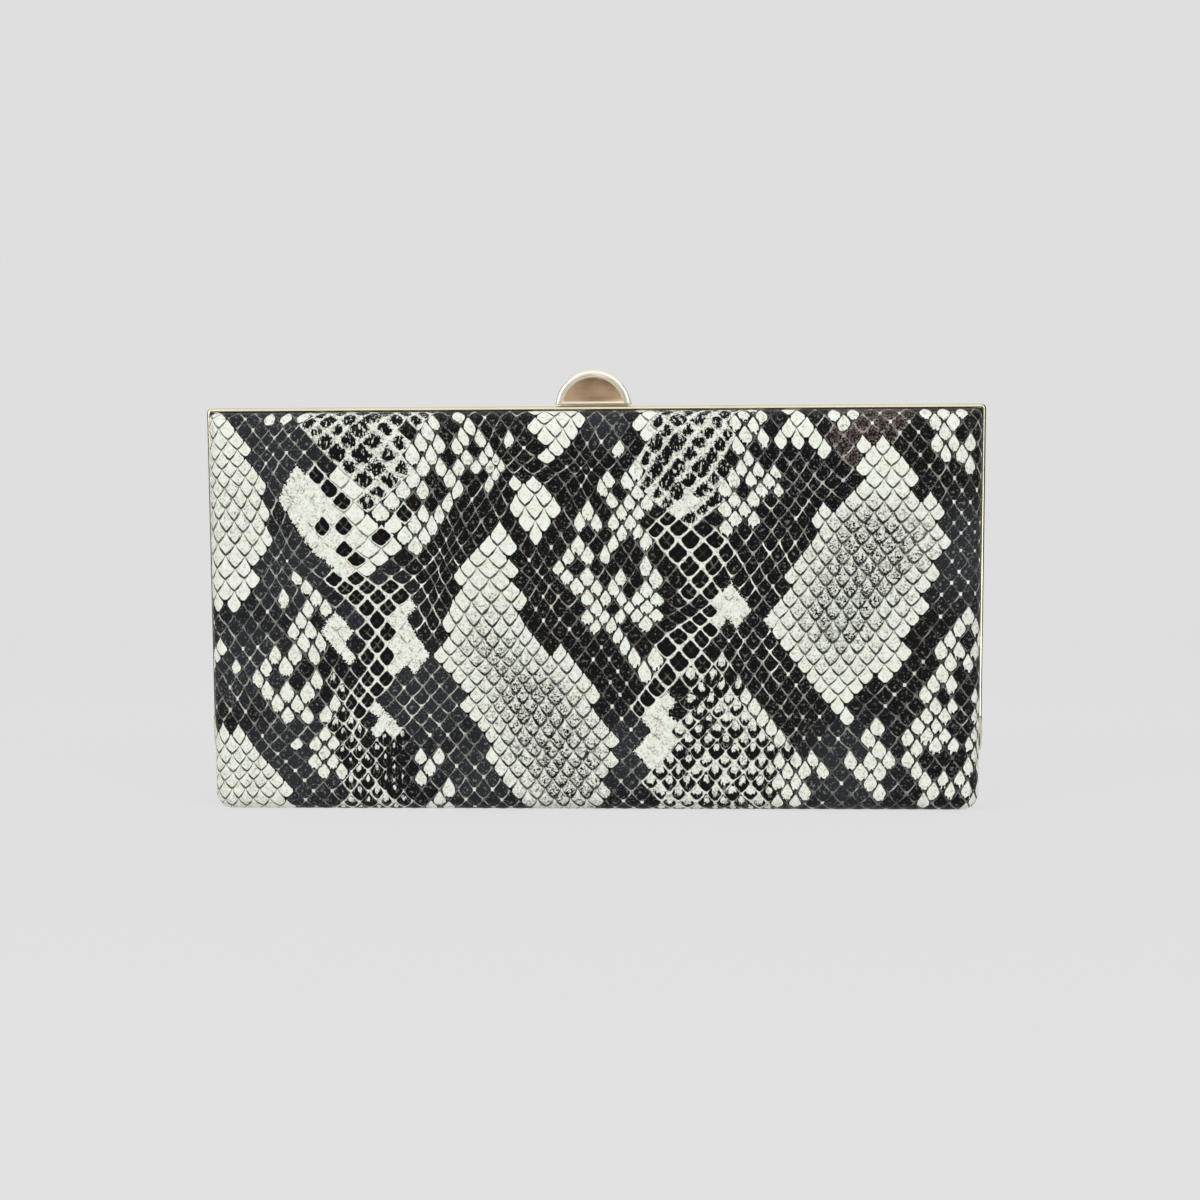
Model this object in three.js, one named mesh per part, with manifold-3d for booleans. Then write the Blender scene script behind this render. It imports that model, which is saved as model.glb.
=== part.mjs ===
// Frame wallet: a leather case that runs in one piece round the bottom, gripped along its top and
// sides by the two halves of a riveted metal frame, and closed by a half-moon clasp.
// Millimetres, +Z up. X runs along the width, -Y is the front, and the origin is the middle of the base.
import * as THREE from "three";
import { mergeVertices } from "three/addons/utils/BufferGeometryUtils.js";
import Module from "manifold-3d";

const wasm = await Module();
wasm.setup();

// Overall sizes
const frameWidth = 190; // over the frame at its top corners
const frameTop = 98;
const caseDepth = 25;
const sideLean = 1.1; // how far each side leans in between the top and the base

// Leather case
const leather = 1.8; // leather and the board under it
const baseCorner = 5; // corner radii, seen from the front
const topCorner = 2.2;
const edgeRoll = 4.5; // radius of the roll from each face to the edges
const faceCrown = 0.7; // how far the middle of a face stands proud of its rim
const mouth = 4.6; // clear gap between the two edges that the frame grips
const leastCorner = 0.3; // corner radius that is left however far an outline moves in

// Frame: each half is a channel of sheet metal, open towards its face of the case
const sheet = 0.5;
const hem = 0.95; // thickness of the flange's edge, folded back on itself
const hemReach = 1; // how far back the fold runs
const tuck = 0.7; // clearance between the hem and the leather
const lipTuck = 0.45; // between the leather and the inner lip
const halfGap = 0.15; // from each half to the plane where they meet
const flangeReach = 4.5; // of the outer flange, from that plane
const lipReach = 4; // of the inner lip
const frameCorner = 1.2;
const leatherOffset = hem + tuck; // from the frame's outline in to the leather
const lipOffset = leatherOffset + leather + lipTuck;
const channel = lipOffset + sheet;

// Hinge at the foot of each arm: the front half's leaf outside, the back half's leaf inside it
const rivetHeight = 18;
const outerLeaf = flangeReach; // radii of the two round leaves
const innerLeaf = 4;
const leafGap = 0.3;
const notchGap = 0.4; // round the inner leaf and head
const rivetStem = 1.1;
const innerHead = 1.9;
const outerHead = 2.2;
const stemGap = 0.2;
const headGap = 0.15;
const headThick = 0.3;

// Half-moon clasp, one half on each half of the frame
const moonWidth = 18.5;
const moonHeight = 8.3;
const moonThick = 4.2; // of each half
const moonLift = 0.5; // above the frame
const moonRound = 0.85; // of the curved edges
const rim = 1.05; // raised border round the sunk face
const footRim = 0.5; // and along its foot
const sunk = 0.4;
const tongueLength = 16.4; // under each half, through a slot in the frame
const tongueThick = 1.6;
const slotGap = 0.2;
const catchRadius = 1.3; // stud that snaps into the other half
const catchReach = 1.8;
const catchGap = 0.3;

const round = 28; // sides of a round piece
const cornerSteps = 6; // facets of a quarter turn
const edgeSteps = 6;

// Solids

function toSolid(geometry) {
  const bare = geometry.clone();
  bare.deleteAttribute("normal");
  bare.deleteAttribute("uv");
  const merged = mergeVertices(bare, 1e-4);
  return new wasm.Manifold(
    new wasm.Mesh({
      numProp: 3,
      vertProperties: merged.attributes.position.array,
      triVerts: new Uint32Array(merged.index.array),
    }),
  );
}

function toGeometry(solid) {
  const mesh = solid.getMesh();
  return new THREE.BufferGeometry()
    .setAttribute("position", new THREE.BufferAttribute(mesh.vertProperties, 3))
    .setIndex(new THREE.BufferAttribute(mesh.triVerts, 1));
}

function block(from, to) {
  const size = new THREE.Vector3().subVectors(to, from);
  const middle = new THREE.Vector3().addVectors(from, to).multiplyScalar(0.5);
  const box = new THREE.BoxGeometry(size.x, size.y, size.z);
  return toSolid(box.translate(middle.x, middle.y, middle.z));
}

// A round bar along X, centred on the rivet's axis.
function rivetBar(radius, fromX, toX) {
  const bar = new THREE.CylinderGeometry(radius, radius, Math.abs(toX - fromX), round);
  return toSolid(bar.rotateZ(Math.PI / 2).translate((fromX + toX) / 2, 0, rivetHeight));
}

// How far in a side leans at a height, as a share of the width there.
function leanAt(z) {
  return 1 - (sideLean / (frameWidth / 2)) * (1 - z / frameTop);
}

function leanIn(geometry) {
  const position = geometry.getAttribute("position");
  for (let i = 0; i < position.count; i++) {
    position.setX(i, position.getX(i) * leanAt(position.getZ(i)));
  }
  return geometry;
}

// Leather case

// The case's outline from the front, moved in by an inset, as a ring of points at one depth.
function outlineRing(inset, y) {
  const halfWidth = frameWidth / 2 - leatherOffset - inset;
  const high = frameTop - leatherOffset - inset;
  const low = inset;
  const corners = [
    { side: 1, edge: low, up: 1, radius: baseCorner, from: -90 },
    { side: 1, edge: high, up: -1, radius: topCorner, from: 0 },
    { side: -1, edge: high, up: -1, radius: topCorner, from: 90 },
    { side: -1, edge: low, up: 1, radius: baseCorner, from: 180 },
  ];
  return corners.flatMap(({ side, edge, up, radius, from }) => {
    const r = Math.max(radius - inset, leastCorner);
    return Array.from({ length: cornerSteps + 1 }, (_, i) => {
      const angle = THREE.MathUtils.degToRad(from + (90 * i) / cornerSteps);
      const x = side * (halfWidth - r) + r * Math.cos(angle);
      return new THREE.Vector3(x, y, edge + up * r + r * Math.sin(angle));
    });
  });
}

// Half of the case's section, from the middle of a face out to its edge. Each row is a ring.
function sectionRows(wall) {
  const face = caseDepth / 2 - faceCrown - wall;
  const roll = edgeRoll - wall;
  const crown = [
    { in: 30, rise: 1 },
    { in: 18, rise: 0.8 },
    { in: 9, rise: 0.48 },
    { in: 3, rise: 0.18 },
  ];
  const rows = crown.map((row) => ({
    inset: edgeRoll + row.in,
    depth: face + faceCrown * row.rise,
  }));
  for (let i = 0; i <= edgeSteps; i++) {
    const angle = (Math.PI / 2) * (i / edgeSteps);
    rows.push({
      inset: wall + roll * (1 - Math.sin(angle)),
      depth: face - roll * (1 - Math.cos(angle)),
    });
  }
  return rows;
}

function loftRings(rings) {
  const count = rings[0].length;
  const last = (rings.length - 1) * count;
  const index = [];
  for (let k = 0; k < rings.length - 1; k++) {
    for (let i = 0; i < count; i++) {
      const a = k * count + i;
      const b = k * count + ((i + 1) % count);
      index.push(a, a + count, b, b, a + count, b + count);
    }
  }
  for (let i = 1; i < count - 1; i++) {
    index.push(0, i, i + 1, last, last + i + 1, last + i);
  }
  return new THREE.BufferGeometry().setFromPoints(rings.flat()).setIndex(index);
}

function pillow(wall) {
  const rows = sectionRows(wall);
  const front = rows.map((row) => outlineRing(row.inset, -row.depth));
  const back = rows.map((row) => outlineRing(row.inset, row.depth)).reverse();
  return toSolid(loftRings([...front, ...back]));
}

function leatherCase() {
  const halfMouth = mouth / 2;
  const slot = block(
    new THREE.Vector3(-frameWidth, -halfMouth, rivetHeight),
    new THREE.Vector3(frameWidth, halfMouth, frameTop * 2),
  );
  const notch = rivetBar(innerLeaf + notchGap, -frameWidth, frameWidth);
  return toGeometry(pillow(0).subtract(pillow(leather)).subtract(slot).subtract(notch));
}

// Frame halves

// One side of an upturned U that follows the frame's outline, moved in by an offset.
function frameLine(offset) {
  const x = frameWidth / 2 - offset;
  const z = frameTop - offset;
  const r = Math.max(frameCorner - offset, leastCorner);
  const points = [new THREE.Vector2(-x, rivetHeight)];
  for (const { side, from } of [{ side: -1, from: 180 }, { side: 1, from: 90 }]) {
    for (let i = 0; i <= cornerSteps; i++) {
      const angle = THREE.MathUtils.degToRad(from - (90 * i) / cornerSteps);
      points.push(
        new THREE.Vector2(side * (x - r) + r * Math.cos(angle), z - r + r * Math.sin(angle)),
      );
    }
  }
  points.push(new THREE.Vector2(x, rivetHeight));
  return points;
}

// A strip of sheet between two offsets from the outline, as deep as from one reach to another.
function frameStrip(outer, inner, near, far, side) {
  const shape = new THREE.Shape([...frameLine(outer), ...frameLine(inner).reverse()]);
  const strip = new THREE.ExtrudeGeometry(shape, { depth: far - near, bevelEnabled: false });
  return toSolid(strip.rotateX(Math.PI / 2).translate(0, side < 0 ? -near : far, 0));
}

function channelHalf(side) {
  const flange = frameStrip(0, sheet, halfGap, flangeReach, side);
  const edge = frameStrip(0, hem, flangeReach - hemReach, flangeReach, side);
  const web = frameStrip(0, channel, halfGap, halfGap + sheet, side);
  const lip = frameStrip(lipOffset, channel, halfGap, lipReach, side);
  return flange.add(edge).add(web).add(lip);
}

function cutSlot(half, side) {
  const halfLength = tongueLength / 2 + slotGap;
  const halfThick = tongueThick / 2 + slotGap;
  const slot = block(
    new THREE.Vector3(-halfLength, side * moonMiddle - halfThick, frameTop - 2 * sheet),
    new THREE.Vector3(halfLength, side * moonMiddle + halfThick, frameTop + sheet),
  );
  return half.subtract(slot);
}

// The outer leaf is the end of the front half's flange; what lies inside it makes way for the inner leaf.
function frontFrame() {
  const outer = frameWidth / 2;
  const half = [-1, 1].reduce((made, end) => {
    const leaf = rivetBar(outerLeaf, end * (outer - sheet), end * outer);
    const room = rivetBar(innerLeaf + leafGap, end * (outer - sheet), end * (outer - channel - 1));
    const hole = rivetBar(rivetStem + stemGap, end * (outer - 2 * sheet), end * (outer + 1));
    return made.subtract(room).add(leaf).subtract(hole);
  }, channelHalf(-1));
  return leanIn(toGeometry(cutSlot(half, -1)));
}

function backFrame() {
  const outer = frameWidth / 2 - sheet - leafGap; // outside of the inner leaf
  const half = [-1, 1].reduce((made, end) => {
    const leaf = rivetBar(innerLeaf, end * (outer - sheet), end * outer);
    const room = rivetBar(outerLeaf + leafGap, end * outer, end * frameWidth);
    const headRoom = rivetBar(innerHead + notchGap, end * (outer - sheet), end * (outer - channel));
    const hole = rivetBar(rivetStem + stemGap, end * (outer - 2 * sheet), end * (outer + 1));
    return made.subtract(room).subtract(headRoom).add(leaf).subtract(hole);
  }, channelHalf(1));
  return leanIn(toGeometry(cutSlot(half, 1)));
}

// A rivet along +Y from the inside out, with its outer head the larger one.
function rivet() {
  const innerFace = -2 * sheet - leafGap - headGap; // measured from the frame's outside
  const profile = [
    { r: 0, at: innerFace - headThick },
    { r: innerHead, at: innerFace - headThick },
    { r: innerHead, at: innerFace },
    { r: rivetStem, at: innerFace },
    { r: rivetStem, at: headGap },
    { r: outerHead, at: headGap },
    { r: outerHead - 0.2, at: headGap + 0.6 * headThick },
    { r: outerHead - 1, at: headGap + headThick },
    { r: 0, at: headGap + 1.1 * headThick },
  ];
  return new THREE.LatheGeometry(
    profile.map(({ r, at }) => new THREE.Vector2(r, at)),
    round,
  );
}

// Clasp

const moonMiddle = halfGap + moonThick / 2; // from the plane where the halves meet
const moonRadius = (moonWidth ** 2 / 4 + moonHeight ** 2) / (2 * moonHeight);

// A half moon whose curve is moved in by an inset and whose straight foot is at a height.
function moonShape(inset, foot) {
  const radius = moonRadius - inset;
  const centre = moonHeight - moonRadius;
  const start = Math.asin((foot - centre) / radius);
  const shape = new THREE.Shape();
  shape.moveTo(radius * Math.cos(start), foot);
  shape.absarc(0, centre, radius, start, Math.PI - start, false);
  shape.closePath();
  return shape;
}

// Upright, with its foot on the origin and its outer face at the front, -Y.
function moonBlank() {
  const body = new THREE.ExtrudeGeometry(moonShape(moonRound, -moonRound), {
    depth: moonThick - 2 * moonRound,
    bevelThickness: moonRound,
    bevelSize: moonRound,
    bevelSegments: 3,
    curveSegments: round,
  });
  body.rotateX(Math.PI / 2).translate(0, moonThick / 2 - moonRound, 0);
  const face = new THREE.ExtrudeGeometry(moonShape(moonRound + rim, footRim), {
    depth: 2 * sunk,
    bevelEnabled: false,
    curveSegments: round,
  });
  face.rotateX(Math.PI / 2).translate(0, sunk - moonThick / 2, 0);
  const below = block(
    new THREE.Vector3(-moonWidth, -moonWidth, -moonHeight),
    new THREE.Vector3(moonWidth, moonWidth, 0),
  );
  const tongue = block(
    new THREE.Vector3(-tongueLength / 2, -tongueThick / 2, -moonLift - sheet),
    new THREE.Vector3(tongueLength / 2, tongueThick / 2, 1), // the last of it inside the half moon
  );
  return toSolid(body).subtract(toSolid(face)).subtract(below).add(tongue);
}

// A round bar out of the inner face, +Y, at half the half moon's height.
function catchBar(radius, from, to) {
  const bar = new THREE.CylinderGeometry(radius, radius, to - from, round);
  return toSolid(bar.translate(0, (from + to) / 2, moonHeight / 2));
}

function frontMoon() {
  const inner = moonThick / 2;
  return toGeometry(moonBlank().add(catchBar(catchRadius, inner - 1, inner + catchReach)));
}

function backMoon() {
  const inner = moonThick / 2;
  const depth = catchReach - 2 * halfGap + catchGap;
  const socket = catchBar(catchRadius + catchGap, inner - depth, inner + 1);
  return toGeometry(moonBlank().subtract(socket));
}

// Assembly

const snakeLeather = new THREE.MeshStandardMaterial({ color: 0x8c8f8a, roughness: 0.42 });
const paleGold = new THREE.MeshStandardMaterial({ color: 0xd8c9a4, roughness: 0.18, metalness: 1 });
const claspGold = new THREE.MeshStandardMaterial({ color: 0xcdb48c, roughness: 0.22, metalness: 1 });

function piece(name, geometry, material) {
  const mesh = new THREE.Mesh(geometry, material);
  mesh.name = name;
  return mesh;
}

const frontHalf = new THREE.Group();
frontHalf.add(piece("front_frame", frontFrame(), paleGold));
const claspFront = piece("clasp_front", frontMoon(), claspGold);
claspFront.position.set(0, -moonMiddle, frameTop + moonLift);
frontHalf.add(claspFront);

const backHalf = new THREE.Group();
backHalf.add(piece("back_frame", backFrame(), paleGold));
const claspBack = piece("clasp_back", backMoon(), claspGold);
claspBack.position.set(0, moonMiddle, frameTop + moonLift);
claspBack.rotation.z = Math.PI;
backHalf.add(claspBack);

const wallet = new THREE.Group();
wallet.add(piece("leather_case", leanIn(leatherCase()), snakeLeather), frontHalf, backHalf);
for (const { name, end } of [{ name: "rivet_left", end: -1 }, { name: "rivet_right", end: 1 }]) {
  const pin = piece(name, rivet(), paleGold);
  pin.position.set((end * frameWidth * leanAt(rivetHeight)) / 2, 0, rivetHeight);
  pin.rotation.z = (-end * Math.PI) / 2;
  wallet.add(pin);
}

export default wallet;
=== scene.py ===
import bpy
import bmesh
import math
import random
from mathutils import Matrix, Vector
from types import SimpleNamespace


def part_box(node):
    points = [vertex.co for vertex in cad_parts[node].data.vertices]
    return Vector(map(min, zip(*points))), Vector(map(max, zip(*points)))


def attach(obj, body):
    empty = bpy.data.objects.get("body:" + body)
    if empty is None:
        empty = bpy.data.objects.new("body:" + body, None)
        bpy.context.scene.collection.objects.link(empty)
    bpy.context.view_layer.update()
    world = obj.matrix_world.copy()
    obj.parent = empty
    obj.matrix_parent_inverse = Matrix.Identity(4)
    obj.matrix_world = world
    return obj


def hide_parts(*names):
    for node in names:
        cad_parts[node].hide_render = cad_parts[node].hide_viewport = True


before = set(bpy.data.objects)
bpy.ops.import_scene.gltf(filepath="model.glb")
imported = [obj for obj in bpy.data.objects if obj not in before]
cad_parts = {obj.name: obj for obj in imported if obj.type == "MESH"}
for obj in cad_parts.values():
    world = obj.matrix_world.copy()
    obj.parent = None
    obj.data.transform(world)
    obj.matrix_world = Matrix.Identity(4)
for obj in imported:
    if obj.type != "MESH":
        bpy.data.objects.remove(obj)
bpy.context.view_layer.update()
mm = 0.001
print("frame loaded:", sorted(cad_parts))


# Small helpers for shader trees

def feed(value, socket):
    if isinstance(value, bpy.types.NodeSocket):
        socket.id_data.links.new(value, socket)
    else:
        socket.default_value = value


def nodeFed(kind, values):
    # a new node in the tree that the values come from
    tree = next(value.id_data for value in values if isinstance(value, bpy.types.NodeSocket))
    return tree.nodes.new(kind)


def calc(operation, *values):
    node = nodeFed("ShaderNodeMath", values)
    node.operation = operation
    for value, socket in zip(values, node.inputs):
        feed(value, socket)
    return node.outputs[0]


def chain(operation, values):
    found = values[0]
    for value in values[1:]:
        found = calc(operation, found, value)
    return found


def largest(*values):
    return chain("MAXIMUM", values)


def times(*values):
    return chain("MULTIPLY", values)


def plus(*values):
    return chain("ADD", values)


def minus(first, second):
    return calc("SUBTRACT", first, second)


def power(value, exponent):
    return calc("POWER", value, exponent)


def scaled(value, factor, shift):
    if isinstance(value, float):
        return value * factor + shift
    return calc("MULTIPLY_ADD", value, factor, shift)


def spread(noise, amount):
    # noise as a swing to both sides of nothing
    return scaled(noise, amount, -0.5 * amount)


def ramp(value, start, end, low=0.0, high=1.0):
    # a soft step from low to high as the value goes from start to end
    given = (value, start, end, low, high)
    node = nodeFed("ShaderNodeMapRange", given)
    node.interpolation_type = "SMOOTHSTEP"
    for item, name in zip(given, ("Value", "From Min", "From Max", "To Min", "To Max")):
        feed(item, node.inputs[name])
    return node.outputs["Result"]


def mix(kind, places, values):
    node = nodeFed("ShaderNodeMix", values)
    node.data_type = kind
    for value, place in zip(values, places):
        feed(value, node.inputs[place])
    return node


def mixTone(*values):
    return mix("FLOAT", (0, 2, 3), values).outputs[0]


def mixColour(*values):
    return mix("RGBA", (0, 6, 7), values).outputs[2]


def noiseOf(tree, size, detail=2.0, stretch=(1, 1, 1), place=(0, 0, 0)):
    # noise whose lumps are about the size given, in millimetres
    spot = tree.nodes.new("ShaderNodeTexCoord")
    mapping = tree.nodes.new("ShaderNodeMapping")
    tree.links.new(spot.outputs["Object"], mapping.inputs["Vector"])
    mapping.inputs["Location"].default_value = place
    mapping.inputs["Scale"].default_value = [share / (size * mm) for share in stretch]
    noise = tree.nodes.new("ShaderNodeTexNoise")
    tree.links.new(mapping.outputs["Vector"], noise.inputs["Vector"])
    noise.inputs["Scale"].default_value = 1.0
    noise.inputs["Detail"].default_value = detail
    return noise.outputs["Fac"]


def attributeOf(tree, name):
    # the four channels of a colour attribute
    node = tree.nodes.new("ShaderNodeAttribute")
    node.attribute_name = name
    split = tree.nodes.new("ShaderNodeSeparateColor")
    tree.links.new(node.outputs["Color"], split.inputs["Color"])
    return [*split.outputs, node.outputs["Alpha"]]


def srgb(red, green, blue, alpha=1.0):
    def linear(level):
        share = level / 255
        return share / 12.92 if share <= 0.04045 else ((share + 0.055) / 1.055) ** 2.4
    return (linear(red), linear(green), linear(blue), alpha)


def newMaterial(name):
    material = bpy.data.materials.new(name)
    material.use_nodes = True
    tree = material.node_tree
    return material, tree, tree.nodes["Principled BSDF"]


def addObject(name, data):
    thing = bpy.data.objects.new(name, data)
    bpy.context.scene.collection.objects.link(thing)
    return thing


def smoothMesh(name, bm):
    mesh = bpy.data.meshes.new(name)
    for face in bm.faces:
        face.smooth = True
    bm.to_mesh(mesh)
    bm.free()
    return mesh


def addPiece(name, mesh, materials, slot, *nodes):
    piece = addObject(name, mesh)
    for material in materials:
        mesh.materials.append(material)
    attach(piece, "root")
    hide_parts(*nodes)
    return piece


# Camera, at the photo's angle

camera = {
    "target": (0.0, 0.0, 53.3),  # mm
    "distance": 600.0,
    "yaw": 3.2,  # degrees towards +X
    "elevation": 3.0,
    "roll": -0.3,
    "focal": 73.2,
    "sensor": 36.0,
    "targetPixel": (594.95, 588.6),  # where the target is in the picture
    "picture": 1200,
}


def setCamera(c):
    yaw, rise = math.radians(c["yaw"]), math.radians(c["elevation"])
    away = Vector((math.sin(yaw) * math.cos(rise), -math.cos(yaw) * math.cos(rise), math.sin(rise)))
    lens = bpy.data.cameras.new("camera")
    lens.lens = c["focal"]
    lens.sensor_width = c["sensor"]
    lens.clip_start = 0.01
    lens.shift_x = (c["picture"] / 2 - c["targetPixel"][0]) / c["picture"]
    lens.shift_y = (c["targetPixel"][1] - c["picture"] / 2) / c["picture"]
    eye = addObject("camera", lens)
    turn = away.to_track_quat("Z", "Y").to_matrix().to_4x4()
    place = (Vector(c["target"]) + away * c["distance"]) * mm
    eye.matrix_world = Matrix.Translation(place) @ turn @ Matrix.Rotation(math.radians(c["roll"]), 4, "Z")
    bpy.context.scene.camera = eye


setCamera(camera)
print("camera set")


# Printed leather

leatherCase = {
    "halfWidth": 93.7,  # of the leather's outline at the top, mm
    "top": 96.7,
    "roll": 4.5,  # radius of the edge from a face to the sides
    "rimDepth": 11.8,  # of the face's rim, from the middle plane
    "crown": 0.7,
    "crownRun": 30.0,
    "mouth": 2.3,  # from the middle plane to the edge that the frame grips
    "rivetHeight": 18.0,
    "notch": 4.4,  # radius of the notch round each rivet
    "wall": 1.8,
    "lean": 0.85 / 95,  # how much narrower the base is, as a share
    "frameTop": 98.0,
    "squareTop": 5.0,  # how square the corners are: 2 is round
    "squareBase": 2.3,
    "relief": 0.09,  # how far a scale's middle stands above its edges
}

lattice = {
    "pitchX": 4.35,  # from scale to scale along a row, mm
    "pitchZ": 5.25,
    "start": (-22.6, 67.2),  # middle of the first scale
    "parts": 3,  # mesh faces along each side of a scale
    "cells": 78,  # scales along each diagonal of the sheet
    "middle": (2, 9),  # the scale in the middle of the sheet, counted from the first
    "bulge": 0.065,  # how far the lower edges of a scale swell, as a share of a side
    "jitter": 0.12,
    "seatReach": 9.0,  # how far a seat holds the lattice, mm
    "seatHold": 0.12,
    "lines": 0.22,  # how bright the lines between dark scales are, away from the spots charted below
    "dots": 0.42,  # share of their crossings with a dot
    "seed": 11,
}
swells = [  # where scales are larger or smaller: place and reach in mm, and by what share
    ((-56, 44), 14, 0.2), ((22, 60), 12, 0.35), ((20, 36), 11, 0.35), ((-58, 72), 15, 0.28),
    ((-53, 88), 11, 0.36), ((-76, 87), 11, -0.32), ((-75, 62), 9, -0.3), ((-72, 33), 10, 0.24),
    ((-88, 37), 9, -0.25), ((-24, 83), 10, -0.42), ((-2, 85), 9, -0.42), ((22, 84), 11, 0.26),
    ((-36, 62), 10, -0.42), ((-13, 57), 8, -0.4), ((-41, 54), 7, -0.25), ((50, 78), 10, -0.25),
    ((90, 66), 11, -0.2), ((92, 22), 12, -0.15), ((-5, 10), 12, -0.2), ((-90, 80), 14, -0.25),
    ((-87, 10), 12, -0.2), ((-18, 30), 14, -0.14), ((63, 56), 16, -0.1)
]
seats = [  # middles of scales that show clearly
    (-86.2, 90), (-79.4, 72.3), (-82.8, 56), (-83, 13), (-78.3, 7.8), (-27.5, 83), (-32.3, 77.3),
    (-37, 71.8), (-14, 79.3), (-22.6, 67.2), (-27, 50), (-12.7, 17.7), (2.6, 77.3), (5.1, 58.8),
    (8, 39.8), (-77.4, 31.4), (-72.4, 20), (69.3, 88), (72.8, 80), (62, 37.5), (60.8, 23),
    (41.4, 72.6), (45.8, 83.2), (86.2, 41.2), (78.5, 15.2), (69.9, 14.3), (41.2, 22.3), (-35.6, 10.5)
]

# Zones of the print, read off the front face: X to the right and Z up, in mm
blotZones = [  # foot: how much of the black lies in the lower half of each scale; below 0 it runs in rows
    {"foot": 0.0, "outline": [
        (-69.5, 92), (-66, 90), (-66, 87), (-64, 84), (-60, 81), (-57.5, 77), (-54, 74), (-50, 74),
        (-47.5, 78), (-46, 82), (-44, 86), (-42, 90), (-38, 93), (-36, 104), (-68, 104)
    ]},
    {"foot": -0.6, "outline": [
        (16, 104), (36, 104), (34, 92), (36, 86), (33, 80), (31, 76), (30, 71), (27, 69), (24, 70),
        (20, 72), (17, 74), (14, 73), (13, 79), (11, 85), (12, 87.5), (16, 90.5)
    ]},
    {"foot": 0.6, "outline": [
        (-68, 35), (-64, 37), (-61, 33), (-60.5, 27), (-57.5, 24), (-57, 19), (-54, 15), (-52, 20),
        (-49, 22), (-46.5, 20), (-45, 16.5), (-47, 12), (-45.5, 8), (-44, 3), (-46, -6), (-66, -6),
        (-63, 2.5), (-60.5, 6), (-64, 11), (-64.5, 18), (-64, 24), (-66, 29)
    ]},
    {"foot": 1.0, "outline": [
        (24, 35), (27.5, 36.5), (30.5, 40), (32.5, 36.5), (31.5, 33.5), (32.5, 29), (36.5, 30.5),
        (39, 27), (41.5, 24.5), (43.5, 22), (45.5, 20), (48, 17), (47, 12), (44, 10), (45, 5),
        (44, -6), (14, -6), (14.5, 4), (13, 9), (16, 11), (18.5, 13), (20, 16), (21, 20), (22, 24),
        (20.5, 28)
    ]},
]
dropZones = [  # share: of white scales; ragged: how torn their feet are; bare: single dark scales
    {"share": 0.85, "ragged": 0.25, "outline": [
        (-47, 78), (-44, 86), (-42, 91), (-36, 96), (-32, 97), (-27.5, 93), (-25.3, 88.5), (-21, 84),
        (-24.5, 78.3), (-27.5, 80.5), (-30.3, 77), (-33, 73), (-37, 68.5), (-41.5, 63.5), (-48, 61),
        (-52, 62.5), (-54, 66), (-56, 69), (-57, 73), (-52, 72)
    ], "bare": [
        (-35, 86.5), (-37.5, 81), (-38, 77.5), (-38.8, 73.5), (-43.5, 73.5), (-46, 72), (-43.8, 91),
        (-30, 81), (-37, 91)
    ]},
    {"share": 0.62, "ragged": 0.4, "outline": [
        (-76.5, 55), (-70, 57.5), (-66, 52), (-64.5, 47.5), (-66.5, 41), (-64, 37), (-63.5, 31),
        (-63, 25), (-63.5, 19), (-63.5, 13), (-61, 8), (-63, 6), (-66, 9), (-70, 12), (-74, 13.5),
        (-74, 18), (-77.5, 21), (-80, 25.5), (-84.5, 31), (-81, 36.5), (-79.5, 40), (-78, 44),
        (-76, 47), (-77.5, 51)
    ]},
    {"share": 0.86, "ragged": 0.5, "outline": [
        (8.5, 93), (6, 90.5), (3.5, 87), (4.5, 84), (2.5, 81), (-0.5, 77), (-2.5, 75), (-4, 72),
        (-4, 66), (-6.5, 64.5), (-8.5, 62), (-10, 59), (-8, 56.5), (-5.5, 52.5), (-3, 49.5), (-1, 46),
        (2, 42.5), (6, 38.5), (9, 35.5), (12.5, 32), (14.5, 34), (17, 38), (19, 42), (20, 46),
        (17, 49), (15, 52), (16.5, 56), (15, 60), (16, 64), (15.5, 68), (14, 73), (12.5, 79),
        (10.5, 84), (10, 88)
    ], "bare": [
        (2.8, 73), (1.5, 67), (0.3, 64), (9.4, 66), (9.3, 62.5), (2.3, 58), (4, 56), (9, 57.5),
        (5.5, 49), (8, 45), (12.5, 40), (6.8, 77), (8.5, 83), (10.3, 87), (2.7, 81.8), (11.5, 42)
    ]},
    {"share": 0.84, "ragged": 0.6, "outline": [
        (36, 104), (43, 104), (42, 93), (43, 88), (40.5, 84), (44.5, 83.5), (44.5, 79), (47.8, 79),
        (47.8, 76), (45, 73), (42.5, 70.5), (39.5, 68), (35, 68), (32, 64.5), (30, 67), (30.5, 72),
        (32, 78), (34, 82), (33, 88)
    ]},
    {"share": 0.52, "ragged": 0.9, "outline": [
        (91, 48.5), (104, 46), (104, -6), (80, -6), (79.5, 3.5), (80, 8), (77, 9.5), (74.8, 12),
        (76, 15), (74.8, 17.5), (76.5, 21), (79, 24), (80.5, 27), (79, 29.5), (81, 32.5), (83, 36),
        (82.5, 38.5), (85, 42), (87, 45)
    ]},
    {"share": 0.85, "ragged": 0.5, "outline": [
        (44, 12), (46.7, 15), (48.5, 12), (51.8, 15), (53.8, 13), (56.5, 10.5), (58.5, 7.5), (56, 4.5),
        (53, 1.5), (48, 0), (44, -2)
    ]},
    {"share": 0.65, "ragged": 0.4, "outline": [
        (-47, 17), (-45, 18.5), (-42, 14), (-40.3, 17.5), (-38, 15), (-36, 12), (-33.5, 10),
        (-31.5, 8), (-33, 5.5), (-31.3, 3), (-33, 1), (-36, -2), (-47, -2), (-46, 4), (-43.5, 8)
    ]},
]
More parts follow.
